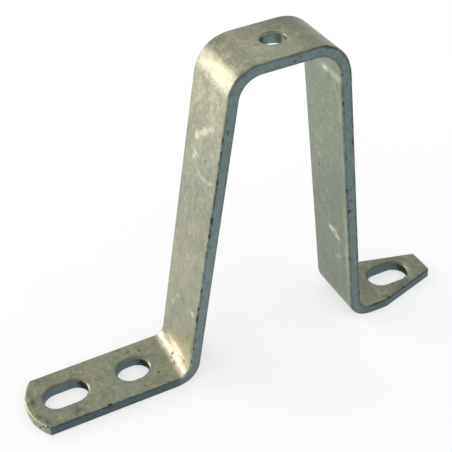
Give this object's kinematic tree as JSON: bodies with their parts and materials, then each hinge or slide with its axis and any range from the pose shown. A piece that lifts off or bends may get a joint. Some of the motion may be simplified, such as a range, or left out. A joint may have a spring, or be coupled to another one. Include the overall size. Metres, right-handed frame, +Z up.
{
  "type": "hat bracket",
  "caption": "Bent flat-bar mounting bracket shaped as a tall hat: slotted feet to screw down and a drilled raised top that carries a load clear of the surface.",
  "frame": {"origin": "on the floor, under the middle of the bracket's length and width", "axes": "+X along the bracket from the long rounded foot to the short tapered foot, +Y across the bar, +Z up from the feet to the top"},
  "size_m": [0.192, 0.03, 0.14],
  "materials": {
    "galvanised_steel": "hot-dip galvanised, dull and mottled, lightly scuffed"
  },
  "bodies": {
    "root": {"hat_bracket": "galvanised_steel"}
  },
  "joints": []
}
